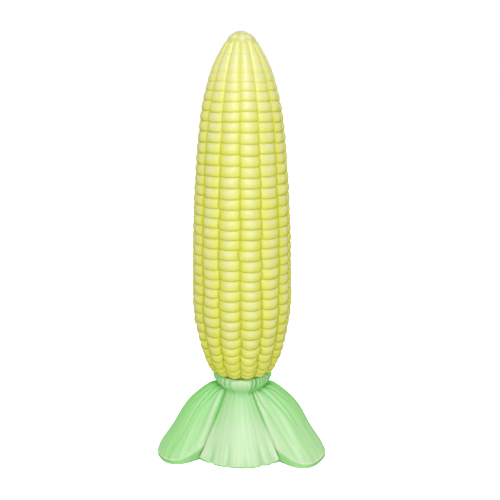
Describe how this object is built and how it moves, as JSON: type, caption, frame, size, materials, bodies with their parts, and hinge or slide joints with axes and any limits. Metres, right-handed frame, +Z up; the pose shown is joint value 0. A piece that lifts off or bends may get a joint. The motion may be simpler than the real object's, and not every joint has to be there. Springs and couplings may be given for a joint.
{
  "type": "moulded corn cob figure",
  "caption": "Moulded soft silicone copy of an ear of corn, standing upright on a flared foot of moulded husk leaves.",
  "frame": {"origin": "on the axis of the ear, on the flat underside of the foot", "axes": "+Z up along the ear from the foot to the tip, -Y towards the front inner leaf, +X to the right of the front"},
  "size_m": [0.0796, 0.072, 0.1917],
  "materials": {
    "ear": "yellow silicone with a soft satin sheen",
    "husk": "pale green silicone with a soft satin sheen"
  },
  "bodies": {
    "root": {"kernel_ear": "ear", "husk_foot": "husk"}
  },
  "joints": []
}
